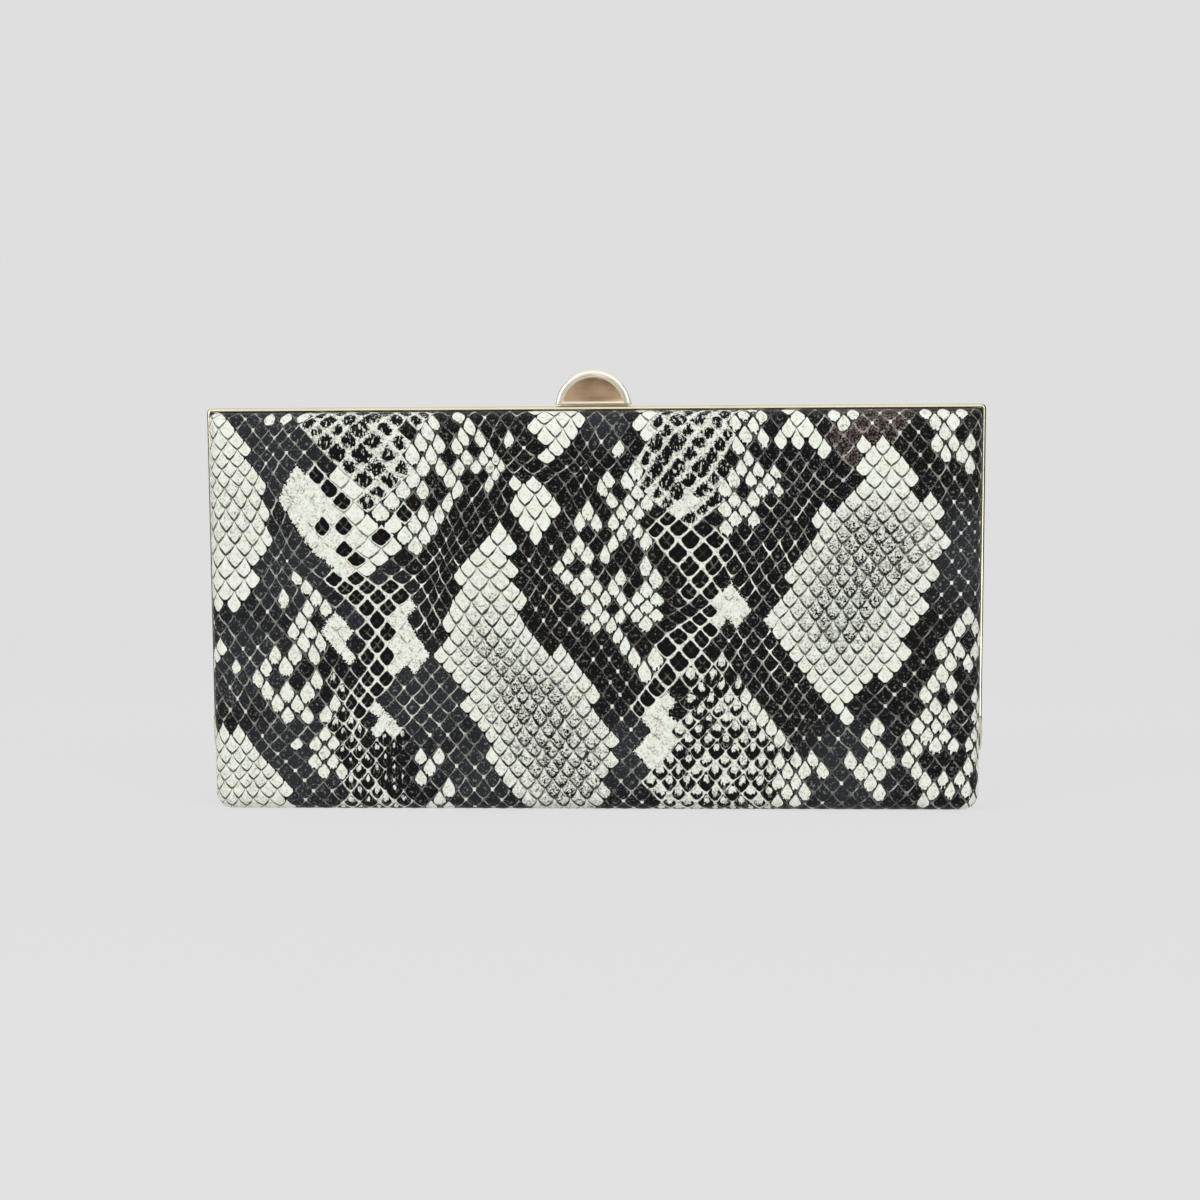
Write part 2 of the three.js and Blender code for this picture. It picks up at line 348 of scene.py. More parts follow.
netZones = [
    [(-66, 58), (-62, 58.5), (-56, 57.5), (-52, 56), (-48, 55), (-45, 51), (-46, 47), (-50, 44),
        (-49, 38), (-47, 33), (-50, 28), (-55, 24), (-57, 21), (-60, 22), (-60.5, 29), (-57, 33),
        (-55, 37), (-57, 42), (-57, 46), (-60, 49), (-62.5, 52), (-65.5, 55)],
    [(28, 50), (29.5, 46), (31, 43.5), (29, 38.5), (27.5, 36), (24, 33.5), (20.5, 29), (18, 26),
        (14.5, 21.5), (11, 22), (9.5, 27), (13.5, 31), (14.5, 34), (17, 38.5), (19.5, 42), (21.5, 46),
        (24.5, 47.5)],
    [(15, 71), (19, 71.5), (22, 69), (23, 66), (27, 64), (29, 67.5), (31.5, 64), (34, 63), (31, 58),
        (31, 53), (28, 50), (24, 52), (21, 56), (18, 60), (15.5, 64)],
]
netSpots = [  # lone black scales in the rubbed white
    (-63.8, 68.5), (-59.8, 65), (-56.8, 61.8), (-59.9, 71.5), (-62.2, 74), (-64.5, 77.5),
    (-66.5, 80.3), (-68, 82.6), (-51.3, 67), (-46, 72)
]
rustZones = [
    [(56, 92), (57, 88), (60, 84), (63.5, 85), (64.5, 88), (68, 88), (72, 90), (76, 92), (77, 104),
        (58, 104)],
]
smearZones = [
    [(-70.8, 85.5), (-67, 81), (-63.5, 75), (-60, 69), (-55, 68), (-50, 64), (-47.5, 62), (-50, 60),
        (-53, 56.5), (-56, 57.5), (-59, 55.5), (-62.5, 57.5), (-66, 60), (-69, 64.5), (-72, 68),
        (-74.5, 71.5), (-76, 75), (-74.5, 78), (-72.5, 81)],
    [(-62.5, 48), (-59, 46), (-57.5, 42.5), (-58, 40), (-57.5, 36), (-57, 33), (-60, 33.5),
        (-60.5, 38), (-63.5, 40), (-66, 42.5), (-64, 46)],
    [(-46, 52), (-43.5, 49), (-42.5, 45.5), (-41.5, 42), (-40.5, 39), (-39, 37.5), (-41.5, 35.5),
        (-43, 33), (-44.5, 31.5), (-46, 34), (-48.5, 35), (-48.3, 38.5), (-49.5, 41.5), (-48, 44),
        (-49.2, 48), (-47.5, 50)],
    [(32, 54), (36.5, 56), (36.8, 51.5), (38.5, 48), (39, 45), (36.5, 43.5), (34.5, 41.5), (33, 44),
        (30, 46), (29.5, 49.5), (31, 52)],
    [(19, 27), (21, 24), (20, 20), (22, 17), (19.5, 14.5), (17.5, 11.5), (15, 9), (12.5, 11.5),
        (11, 13), (10, 15), (12, 18.5), (13.5, 22), (16, 25.5)],
    [(18, 75), (22, 77), (25, 75), (23.5, 70), (26, 68.5), (29, 66), (27, 62.5), (24, 65.5),
        (21, 70)],
    [(41, 47.5), (44, 49), (45, 46.5), (48, 42.5), (46, 42), (43, 44.5)],
    [(-53, 25), (-50, 26), (-48.5, 23), (-46, 19.5), (-48, 18), (-51, 20), (-52, 17), (-55, 17),
        (-56.5, 20), (-54.5, 22)],
]
boneZones = [
    [(-104, 104), (-88.5, 96.5), (-86.8, 92.5), (-84.5, 89.5), (-82.3, 86.5), (-83, 84.2),
        (-81, 82), (-80, 80.5), (-78.7, 77.5), (-79.8, 75), (-78.2, 72), (-79, 70), (-77.3, 66.5),
        (-79.5, 64.7), (-80.3, 62), (-82, 59.5), (-83, 58), (-81.2, 55), (-83, 52.5), (-84.5, 50),
        (-86, 47), (-87, 45), (-88, 46.8), (-90.5, 49), (-104, 52)],
    [(-104, 21), (-91.5, 20), (-89.3, 18.5), (-87.5, 20), (-85.8, 17), (-84, 15), (-83, 13),
        (-81, 11.5), (-78.5, 9.5), (-76.5, 7), (-74.5, 4.5), (-74, -6), (-104, -6)],
    [(-104, 41), (-91, 40), (-90, 37.5), (-91.5, 35), (-104, 35)],
    [(-22.5, 69.5), (-20.7, 66), (-18, 64.2), (-16.6, 62.5), (-18, 60.5), (-18.2, 58.5),
        (-16.7, 57), (-18, 54.5), (-16.2, 51.5), (-17.5, 49), (-17, 47), (-15, 45.5), (-13.5, 44),
        (-11.5, 42.5), (-10, 40.5), (-8, 39), (-5.5, 37), (-4, 34.5), (-2, 33), (0, 30.5), (2.8, 27),
        (1.8, 24), (2.5, 22), (4, 19.5), (5.8, 17), (4, 15), (5.8, 12), (4.5, 9.5), (2.7, 7),
        (3.8, 4.5), (2, 1.5), (-1, -6), (-12, -6), (-17, 1.5), (-20.5, 4), (-23.5, 7), (-25, 9.5),
        (-25, 13), (-26, 15), (-27.8, 17), (-27, 20), (-29.5, 23), (-31, 25.5), (-32.8, 28),
        (-32.5, 31), (-34, 33.5), (-36.5, 36), (-37.5, 38.5), (-35, 40), (-35, 42), (-34, 44),
        (-35.6, 45.5), (-35.5, 47.8), (-33.2, 49), (-33.5, 51), (-32, 53.5), (-33.2, 56),
        (-31.2, 58.5), (-29, 61), (-27, 64), (-25, 66.5)],
    [(65, 90), (66.5, 88), (69.5, 90.5), (71.5, 88), (74, 86), (76, 84), (77.3, 83), (79, 81),
        (78, 78.5), (80, 75.5), (81.5, 75), (83, 72), (85, 70), (83.5, 68), (85, 65), (84.5, 62),
        (82.3, 60), (83, 57), (81.5, 54.5), (80, 52), (80.5, 49), (78.5, 46), (77, 43), (76.3, 39),
        (75, 37), (72.5, 34), (71, 32), (68, 33), (66.5, 30), (64.5, 27), (62.5, 24), (60.7, 21.5),
        (58.5, 25), (55.5, 27), (53, 30), (50.5, 32.5), (48.5, 34.5), (47, 37), (47.5, 39.5),
        (46.5, 41.5), (44.5, 44), (43.5, 46), (45, 48), (45, 50.5), (47.5, 53), (46.2, 57), (48.5, 60),
        (51, 61.5), (52.5, 64), (55, 66.5), (53.2, 69.5), (55, 72), (56.5, 74.5), (58.5, 72),
        (61, 74.5), (62.5, 77), (65, 78.5), (62.8, 80.5), (63.5, 83), (65.5, 84.5), (66, 86.5),
        (63.8, 88)],
    [(-14.5, 104), (-14.5, 93), (-13.8, 88), (-9.6, 83), (-5.2, 88), (-3.2, 91.5), (-1.3, 94.5),
        (-2, 104)],
    [(-20.5, 78.5), (-18, 81), (-16, 78.5), (-13.8, 82), (-11, 79.5), (-9, 77.5), (-7.3, 74.5),
        (-9.5, 71.5), (-10, 69.3), (-9.8, 67), (-11.2, 64.5), (-13.4, 66.3), (-15, 68.5), (-18, 71),
        (-20.3, 73), (-18.5, 75.5)],
    [(11, 104), (16, 104), (15.5, 91), (13, 88), (11, 90.5), (9.5, 93.5)],
    [(-63.5, 83), (-60, 82), (-57, 79), (-55, 75.5), (-56, 71), (-53, 70.5), (-50.5, 72),
        (-47.5, 71.5), (-46.5, 66), (-47.5, 62.5), (-51, 60), (-53, 56.8), (-56, 57.5), (-58, 60),
        (-56, 64), (-57.5, 68), (-59, 74), (-61, 77)],
    [(46, 104), (50, 104), (52.5, 94), (55, 91.5), (57.3, 88), (55.5, 86), (53, 87), (51, 86),
        (48.5, 88), (45.5, 86), (44, 88), (46, 91), (47, 94)],
]
slatesAndReflection = [  # where the dark scales are slate grey: place and reach in mm; the spot at the top edge, at (3, 94), is a painted reflection along the top roll
    ((-78, 86), 13), ((-74, 58), 12), ((-85, 36), 12), ((-74, 12), 14), ((-52, 50), 10),
    ((-41, 28), 13), ((-28, 10), 10), ((90, 62), 13), ((8, 14), 9), ((62, 10), 12), ((3, 94), 6)
]
boneSpots = [  # lone white scales
    (-88.7, 34.8), (-18.7, 89.3), (-78, 95.5), (-73.7, 95.5), (-69.5, 95.5), (60, 93.5), (57, 96),
    (62, 96), (82.8, 93.4), (87, 93.5), (85.2, 91), (83.4, 88.4), (87.7, 88.6), (86.2, 85.6),
    (90.2, 86), (92, 88.5), (91.8, 83), (80, 96), (84.5, 96), (89, 96), (69.8, 20.3), (67.7, 17),
    (69.9, 14.3), (67.8, 12), (72.2, 12.2), (70, 8.8), (67.8, 6.2), (65.4, 8.4), (63.2, 11), (61, 13),
    (70, 4), (35.7, 28), (38.5, 25.3), (41.2, 22.3), (43.8, 20), (46.6, 17.5), (90, 46.3),
    (88.2, 43.5), (86.3, 41), (84.2, 38.5), (86.3, 36.2), (84.7, 33.8), (82.4, 31.8), (80.5, 29),
    (82.4, 26.5), (80.5, 23.5), (78.3, 21), (76.3, 17.8), (78.5, 15), (76.4, 12.3), (78.6, 10),
    (81.2, 7.3), (83.6, 4.8), (81.2, 2.5)
]
paleSpots = [  # where the lines between dark scales or their dots differ: place, reach, lines, dots
    ((-38, 54), 12, 0.5, 0.3), ((-40, 27), 12, 0.42, 0.3), ((-29, 14), 9, 0.25, 0.2),
    ((-76, 84), 14, 0.28, 0.75), ((-77, 19), 13, 0.2, 0.6), ((-67, 60), 8, 0.34, 0.2),
    ((-25, 80), 14, 0.32, 0.15), ((40, 36), 10, 0.5, 0.1), ((50, 74), 13, 0.34, 0.2),
    ((38, 60), 9, 0.5, 0.1), ((4, 30), 18, 0.11, 0.6), ((89, 60), 20, 0.1, 0.8),
    ((-3, 88), 10, 0.17, 0.5), ((78, 38), 15, 0.09, 0.6), ((58, 17), 13, 0.1, 0.35)
]
smudges = [  # grey bloom inside the white zones: place and reach in mm, and how strong
    ((-25, 40), 8, 0.7), ((-16, 28), 10, 0.9), ((-9, 16), 12, 0.9), ((-5, 4), 10, 0.7),
    ((-24, 52), 6, 0.3), ((-86, 8), 9, 0.3), ((66, 66), 9, 0.9), ((63, 54), 12, 0.9),
    ((58, 44), 10, 0.6), ((76, 64), 8, 0.6), ((-89, 72), 11, 0.35)
]


def insideOutline(x, z, outline):
    inside = False
    previousX, previousZ = outline[-1]
    for cornerX, cornerZ in outline:
        if (cornerZ > z) != (previousZ > z):
            if x < previousX + (z - previousZ) * (cornerX - previousX) / (cornerZ - previousZ):
                inside = not inside
        previousX, previousZ = cornerX, cornerZ
    return inside


def inAny(x, z, zones):
    return any(insideOutline(x, z, outline) for outline in zones)


def nearness(x, z, at, reach, power=2):
    # 1 at the place itself, falling to nothing beyond its reach
    return math.exp(-(math.dist((x, z), at) / reach) ** power)


def smudgeAt(x, z):
    return min(1.0, sum(depth * nearness(x, z, at, reach) for at, reach, depth in smudges))


def slateAndReflectionAt(x, z):
    return max(nearness(x, z, at, reach, 4) for at, reach in slatesAndReflection)


def styleAt(x, z, chance):
    # what a scale with its middle here is printed as, and how smudged, torn, footed or slate grey it is
    if inAny(x, z, boneZones):
        return "bone", smudgeAt(x, z)
    for name, zones in (("smear", smearZones), ("rust", rustZones), ("net", netZones)):
        if inAny(x, z, zones):
            return name, 0.0
    for zone in dropZones:
        if insideOutline(x, z, zone["outline"]):
            return ("drop", zone["ragged"]) if chance < zone["share"] else ("night", slateAndReflectionAt(x, z))
    for zone in blotZones:
        if insideOutline(x, z, zone["outline"]):
            return "blot", zone["foot"]
    return "night", slateAndReflectionAt(x, z)


def paleAt(x, z):
    # how bright the lines between dark scales are here, and the share of crossings with a dot
    lines, dots = lattice["lines"], lattice["dots"]
    for at, reach, spotLines, spotDots in paleSpots:
        share = nearness(x, z, at, reach)
        lines += (spotLines - lines) * share
        dots += (spotDots - dots) * share
    return lines, dots


def foldOver(u, w, case):
    # from the flat sheet to a point of the front half, with how far past the edge it is
    faceHalf = case["halfWidth"] - case["roll"]
    low, high = case["roll"], case["top"] - case["roll"]
    onFaceU = max(-faceHalf, min(faceHalf, u))
    onFaceW = max(low, min(high, w))
    overU, overW = u - onFaceU, w - onFaceW
    square = case["squareTop"] if overW > 0 else case["squareBase"]
    over = (abs(overU) ** square + abs(overW) ** square) ** (1 / square)
    inset = min(faceHalf - abs(onFaceU), onFaceW - low, high - onFaceW)
    quarter = case["roll"] * math.pi / 2
    z = onFaceW
    limit = 1e9
    if over > 0:
        ease = 1 - math.cos(min(over, quarter) / case["roll"])
        reach = case["roll"] * math.sin(min(over, quarter) / case["roll"])
        z = onFaceW + overW / over * reach
        edge = case["mouth"]
        toRivet = z - case["rivetHeight"]
        if overW <= 0 and toRivet < case["notch"]:
            edge = math.sqrt(max(0.0, case["notch"] ** 2 - toRivet ** 2))
            if toRivet > 0:
                edge = max(edge, case["mouth"])
        limit = quarter + case["rimDepth"] - case["roll"] - edge
        straight = max(0.0, min(over, limit) - quarter)
        x = onFaceU + overU / over * reach
        depth = case["rimDepth"] - case["roll"] * ease - straight
    else:
        share = min(inset / case["crownRun"], 1.0)
        x = onFaceU
        depth = case["rimDepth"] + case["crown"] * (1 - (1 - share) ** 2)
    x *= 1 - case["lean"] * (1 - z / case["frameTop"])
    return Vector((x, -depth, z)) * mm, over > limit - 0.02


def swollenPlace(i, j):
    # a point of the even lattice on the flat sheet, moved by the swells
    u = lattice["start"][0] + (i + j - 1) * lattice["pitchX"] / 2
    w = lattice["start"][1] + (i - j + 2 * lattice["bulge"]) * lattice["pitchZ"] / 2
    movedU, movedW = u, w
    for at, reach, swell in swells:
        awayU, awayW = u - at[0], w - at[1]
        share = swell * math.exp(-(awayU ** 2 + awayW ** 2) / reach ** 2)
        movedU += awayU * share
        movedW += awayW * share
    return movedU, movedW


def latticeRanges():
    span = lattice["cells"] // 2
    return [range(middle - span, middle + span + 1) for middle in lattice["middle"]]


def seatShifts():
    # how far the nearest scale has to move to sit on each seat
    rangeI, rangeJ = latticeRanges()
    low = 0.5 - lattice["bulge"]
    middles = [swollenPlace(i + low, j + 1 - low) for i in rangeI for j in rangeJ]
    shifts = []
    for seat in seats:
        u, w = min(middles, key=lambda middle: math.dist(middle, seat))
        shifts.append((u, w, seat[0] - u, seat[1] - w))
    return shifts


def cornerPlace(i, j, shifts):
    u, w = swollenPlace(i, j)
    total, shiftU, shiftW = lattice["seatHold"], 0.0, 0.0
    for seatU, seatW, moveU, moveW in shifts:
        share = math.exp(-((u - seatU) ** 2 + (w - seatW) ** 2) / lattice["seatReach"] ** 2)
        total += share
        shiftU += share * moveU
        shiftW += share * moveW
    return u + shiftU / total, w + shiftW / total


styleNames = ("bone", "drop", "net", "blot", "smear", "rust")
dark = ("night", "rust")
blackGround = ("night", "rust", "drop")


def pairLine(first, second, level, draw):
    # how strong the line is between two neighbouring scales
    if first == "bone" and second == "bone":
        return draw.uniform(0.7, 1.0)
    if first in dark and second in dark:
        return level * (0.6 + 1.9 * draw.random() ** 2.5)
    if first in ("bone", "smear") or second in ("bone", "smear"):
        return 0.03
    if first in ("drop", "blot") or second in ("drop", "blot"):
        return draw.uniform(0.05, 0.25)
    return draw.uniform(0.4, 0.8)


def scaleTable(flip):
    # every scale's corners on the sheet, its style and the strength of its lines and dots
    draw = random.Random(lattice["seed"] + (1 if flip else 0))
    rangeI, rangeJ = latticeRanges()
    shifts = seatShifts()
    corners = {}
    for i in rangeI:
        for j in rangeJ:
            u, w = cornerPlace(i, j, shifts)
            corners[i, j] = (u + draw.gauss(0, lattice["jitter"]), w + draw.gauss(0, lattice["jitter"]))
    middles = {}
    for i in rangeI[:-1]:
        for j in rangeJ[:-1]:
            left, top = corners[i, j], corners[i + 1, j]
            low, right = corners[i, j + 1], corners[i + 1, j + 1]
            sink = lattice["bulge"]
            x, z = [(left[k] + top[k] + low[k] + right[k]) / 4 + sink * (low[k] - top[k]) for k in (0, 1)]
            middles[i, j] = (-x, leatherCase["top"] - z) if flip else (x, z)
    spots = {}
    bareSpots = [spot for zone in dropZones for spot in zone.get("bare", [])]
    charts = ((bareSpots, ("night", 0.0)), (boneSpots, ("drop", 0.3)), (netSpots, ("net", 0.0)))
    for charted, printed in charts:
        for spot in charted:
            spots[min(middles, key=lambda key: math.dist(middles[key], spot))] = printed
    styles, marks, levels = {}, {}, {}
    for key, (x, z) in middles.items():
        found = styleAt(x, z, draw.random())
        styles[key], extra = spots.get(key, found)
        marks[key] = (draw.random(), extra)
        levels[key] = paleAt(x, z)
    lines, dots, opened = {}, {}, {}
    for (i, j), style in styles.items():
        level, share = levels[i, j]
        for key, other in (((i, j, "a"), (i - 1, j)), ((i, j, "b"), (i, j - 1))):
            lines[key] = pairLine(style, styles.get(other, "night"), level, draw)
        around = [styles.get((i - x, j - y), "night") for x in (0, 1) for y in (0, 1)]
        bright = draw.random() < share and all(style in dark for style in around)
        dots[i, j] = draw.uniform(0.65, 1.0) if bright else 0.0
        opened[i, j] = 1.0 if any(style in blackGround for style in around) else 0.0
    return {"corners": corners, "styles": styles, "marks": marks,
            "lines": lines, "dots": dots, "opened": opened}


def sheetPlace(across, along, corners):
    # a point of the lattice on the flat sheet, with the lower edges of every scale swollen
    i, j = math.floor(across + 1e-4), math.floor(along + 1e-4)
    i, j = [min(at, reach[-2]) for at, reach in zip((i, j), latticeRanges())]
    a, b = across - i, along - j
    swell = 4 * lattice["bulge"]
    a, b = a - swell * b * (1 - b), b + swell * a * (1 - a)
    return [
        (1 - a) * ((1 - b) * corners[i, j][k] + b * corners[i, j + 1][k])
        + a * ((1 - b) * corners[i + 1, j][k] + b * corners[i + 1, j + 1][k])
        for k in (0, 1)
    ]


def layHalf(bm, layers, flip):
    # one half of the sheet: a grid in the lattice's own directions, folded over the case
    table = scaleTable(flip)
    styles, lines = table["styles"], table["lines"]
    parts, cells = lattice["parts"], lattice["cells"]
    made = bmesh.ops.create_grid(bm, x_segments=cells * parts, y_segments=cells * parts, size=cells / 2)
    verts = made["verts"]
    grid, relief, beyond = {}, {}, {}
    for vert in verts:
        across, along = vert.co.x + lattice["middle"][0], vert.co.y + lattice["middle"][1]
        grid[vert] = (across, along)
        place, past = foldOver(*sheetPlace(across, along, table["corners"]), leatherCase)
        beyond[vert] = past
        inside = all(0.1 < part % 1 < 0.9 for part in (across, along))
        relief[vert] = inside and not past
        vert.co = (place.x, -place.y, place.z) if flip else place
    faces = {face for vert in verts for face in vert.link_faces}
    unused = [face for face in faces if all(beyond[vert] for vert in face.verts)]
    kept = faces.difference(unused)
    for face in kept:
        i = math.floor(sum(grid[vert][0] for vert in face.verts) / 4)
        j = math.floor(sum(grid[vert][1] for vert in face.verts) / 4)
        style = styles[i, j]
        masks = [1.0 if style == name else 0.0 for name in styleNames]
        edges = (lines[i, j, "a"], lines.get((i + 1, j, "a"), 0.0),
                 lines[i, j, "b"], lines.get((i, j + 1, "b"), 0.0))
        spots = table["dots"] if style in blackGround else table["opened"]
        ends = ((i, j), (i + 1, j), (i, j + 1), (i + 1, j + 1))
        cornerMarks = [spots.get(corner, 0.0) for corner in ends]
        others = ((i - 1, j), (i + 1, j), (i, j - 1), (i, j + 1))
        rims = [1.0 if styles.get(other, "night") in blackGround else 0.0 for other in others]
        for loop in face.loops:
            loop[layers["scaleStyle"]] = masks[:4]
            loop[layers["scaleMark"]] = (*masks[4:], *table["marks"][i, j])
            loop[layers["scaleEdge"]] = edges
            loop[layers["scaleCorner"]] = cornerMarks
            loop[layers["scaleRim"]] = rims
            loop[layers["scaleGrid"]].uv = (grid[loop.vert][0] - i, grid[loop.vert][1] - j)
    bmesh.ops.delete(bm, geom=unused, context="FACES")
    if flip:
        bmesh.ops.reverse_faces(bm, faces=list(kept))
    return [vert for vert in verts if vert.is_valid], relief


def makeLeather():
    bm = bmesh.new()
    names = ("scaleStyle", "scaleMark", "scaleEdge", "scaleCorner", "scaleRim")
    layers = {name: bm.loops.layers.float_color.new(name) for name in names}
    layers["scaleGrid"] = bm.loops.layers.uv.new("scaleGrid")
    raised = []
    for flip in (False, True):
        verts, relief = layHalf(bm, layers, flip)
        raised += [vert for vert in verts if relief[vert]]
    bm.normal_update()
    lowFace = min(bm.faces, key=lambda face: face.calc_center_median().y)
    if lowFace.normal.y > 0:
        bmesh.ops.reverse_faces(bm, faces=bm.faces)
        bm.normal_update()
    heart = Vector((0, 0, leatherCase["top"] / 2)) * mm
    turned = [face for face in bm.faces if face.normal.dot(face.calc_center_median() - heart) < 0]
    bmesh.ops.delete(bm, geom=turned, context="FACES")  # slivers folded back at the notches
    bm.normal_update()
    for vert in [vert for vert in raised if vert.is_valid]:
        vert.co += vert.normal * leatherCase["relief"] * mm
        vert.co.z = max(vert.co.z, 0.0)  # flat where it stands
    middle = [vert for vert in bm.verts if abs(vert.co.y) < 0.02 * mm]
    bmesh.ops.remove_doubles(bm, verts=middle, dist=0.05 * mm)
    return smoothMesh("printedLeather", bm)


skin = {
    "black": srgb(9, 9, 12),
    "brownBlack": srgb(12, 9, 9),
    "slate": srgb(38, 40, 44),
    "white": srgb(232, 237, 227),
    "cream": srgb(228, 228, 214),
    "bloom": srgb(150, 132, 124),  # dusty speckle in the rusty corner
    "roughness": (0.34, 0.46),
    "gloss": 0.11,
    "grain": 0.35,  # size of the fine grain, mm
    "grainHeight": 0.012,
    "backing": (srgb(38, 34, 33), srgb(62, 56, 53)),  # inside of the case
    "backingRoughness": (0.8, 0.95),
}


def scaleSockets(tree):
    # what the prints below share: places inside a scale, its marks, and noise of several sizes
    s = SimpleNamespace()
    s.bone, s.drop, s.net, s.blot = attributeOf(tree, "scaleStyle")
    s.smear, s.rust, s.chance, s.extra = attributeOf(tree, "scaleMark")
    s.edge = attributeOf(tree, "scaleEdge")
    s.corner = attributeOf(tree, "scaleCorner")
    s.rim = attributeOf(tree, "scaleRim")
    uv = tree.nodes.new("ShaderNodeUVMap")
    uv.uv_map = "scaleGrid"
    split = tree.nodes.new("ShaderNodeSeparateXYZ")
    tree.links.new(uv.outputs["UV"], split.inputs[0])
    a, b = split.outputs[0], split.outputs[1]
    pastA, pastB = minus(1.0, a), minus(1.0, b)
    s.toEdge = [a, pastA, b, pastB]
    s.toCorner = [plus(*pair) for pair in ((a, b), (pastA, b), (a, pastB), (pastA, pastB))]
    s.upright = minus(a, b)  # 1 at the top corner, -1 at the bottom one
    s.sideways = calc("ABSOLUTE", minus(a, pastB))  # 1 at the corners left and right
    bothWays = [scaled(side, 2.0, -1.0) for side in (a, b)]
    s.fromMiddle = [calc("ABSOLUTE", side) for side in bothWays]
    s.fine = noiseOf(tree, 0.45, 3.0)
    s.coarse = noiseOf(tree, 1.7, 2.0, place=(3, 1, 7))
    s.speck = noiseOf(tree, 0.5, 1.0, place=(9, 4, 2))
    s.streak = noiseOf(tree, 0.55, 2.0, stretch=(1, 1, 0.32), place=(5, 8, 1))
    s.cloud = noiseOf(tree, 0.95, 3.0, place=(6, 2, 9))
    s.slow = noiseOf(tree, 45, 1.0, place=(2, 2, 5))
    s.wobble = spread(s.fine, 0.1)
    return s


def roundCell(s, square):
    # 0 in the middle of a scale and 1 along its edges, with the corners rounder for a low square
    powers = [power(side, square) for side in s.fromMiddle]
    return power(plus(*powers), 1 / square)


def nightPrint(s):
    # dark scales: rounded, between thin broken pale lines, with a dot at some crossings, and painted glints
    # inside them
    reach = plus(roundCell(s, 6.0), spread(s.coarse, 0.2), s.wobble)
    gap = ramp(reach, 0.88, 0.97)
    weights = [power(plus(side, 0.05), -2.0) for side in s.toEdge]
    levels = [times(weight, level) for weight, level in zip(weights, s.edge)]
    level = calc("DIVIDE", plus(*levels), plus(*weights))
    lines = times(gap, level, ramp(s.coarse, 0.36, 0.58, 0.35, 1.3))
    # painted glints: small pale specks towards a scale's edges and faint painted highlights in its middle
    flecks = times(ramp(s.speck, 0.6, 0.68), ramp(reach, 0.2, 0.75), 0.15)
    paintedGlints = times(ramp(s.cloud, 0.57, 0.66), ramp(reach, 0.6, 0.3), 0.15)
    dots = 0.0
    for away, mark in zip(s.toCorner, s.corner):
        dot = ramp(plus(away, s.wobble), 0.2, 0.12)
        dots = largest(times(dot, mark), dots)
    return largest(lines, flecks, paintedGlints, dots)


def whiteEdges(s):
    # where black runs in round a white scale that has a dark one beside it: clean and torn
    clean, torn = 0.0, 0.0
    tear = spread(s.fine, 0.7)
    for side, level in zip(s.toEdge, s.rim):
        cut = ramp(plus(side, s.wobble), 0.1, 0.05)
        clean = largest(times(cut, level), clean)
        cut = ramp(plus(side, tear), 0.16, 0.08)
        torn = largest(times(cut, level), torn)
    for away, level, deep in zip(s.toCorner, s.corner, (0.28, 0.12, 0.26, 0.28)):
        cut = ramp(plus(away, s.wobble), deep + 0.05, deep - 0.04)
        clean = largest(times(cut, level), clean)
    return minus(1.0, clean), minus(1.0, torn)


def mottled(s, share):
    # white dulled by soft grey patches and dark freckles, more of both for a larger share
    patches = times(ramp(s.cloud, 0.42, 0.66), scaled(share, 0.34, 0.07))
    marks = plus(s.speck, scaled(share, 0.1, 0.0))
    freckles = times(ramp(marks, 0.58, 0.65), ramp(s.coarse, 0.36, 0.6, 0.35, 1.0),
                     scaled(share, 0.6, 0.3))
    plain = scaled(share, -0.12, 0.98)
    return minus(minus(plain, patches), freckles)


def brokenOutline(s, width):
    # dark lines along the edges, strongest at the foot of each scale and broken towards its sides
    a, pastA, b, pastB = s.toEdge
    lines = []
    for first, second, down in ((a, pastA, b), (b, pastB, pastA)):
        away = plus(calc("MINIMUM", first, second), times(s.wobble, 0.5), spread(s.cloud, 0.12))
        heavy = plus(down, spread(s.coarse, 0.8))
        wide = times(width, ramp(heavy, 0.1, 0.8, 0.85, 1.5))
        line = ramp(away, plus(wide, 0.025), minus(wide, 0.02))
        fade = ramp(plus(down, spread(s.cloud, 1.1)), -0.05, 0.4, 0.38, 1.0)
        lines.append(times(line, fade))
    return largest(*lines)


def bonePrint(s, whole):
    # white scales: dark outlines, heavier below, and grey specks where the print is smudged
    width = scaled(s.extra, 0.022, 0.044)
    outline = times(brokenOutline(s, width), largest(*s.edge), 0.97)
    low = ramp(s.upright, 0.6, -0.1, 0.5, 1.0)
    tone = mottled(s, times(s.extra, low))
    return times(tone, minus(1.0, outline), whole)


def dropPrint(s, night):
    # lone white scales: pointed at the top, round and ragged at the foot
    top = ramp(s.upright, 0.05, 0.5)
    reach = mixTone(top, roundCell(s, 3.2), roundCell(s, 7.0))
    reach = plus(reach, ramp(s.sideways, 0.25, 0.9, 0.0, 0.16))
    teeth = times(ramp(s.streak, 0.38, 0.62), ramp(s.upright, 0.2, -0.6), s.extra, 0.75)
    reach = plus(reach, teeth, times(s.wobble, 1.6))
    size = scaled(s.chance, 0.09, 0.91)
    shape = ramp(reach, plus(size, 0.05), minus(size, 0.05))
    return mixTone(shape, times(night, 0.6), mottled(s, 0.15))


def netPrint(s):
    # black rounded cells between wide pale lines, some with a faint cross inside
    reach = plus(roundCell(s, 4.5), spread(s.coarse, 0.35), s.wobble)
    shape = ramp(reach, 0.92, 0.82)
    cross = largest(*[ramp(side, 0.14, 0.04) for side in s.fromMiddle])
    inside = times(cross, ramp(s.chance, 0.3, 0.7, 0.02, 0.13), ramp(s.coarse, 0.4, 0.6))
    return mixTone(shape, mottled(s, 0.25), inside)


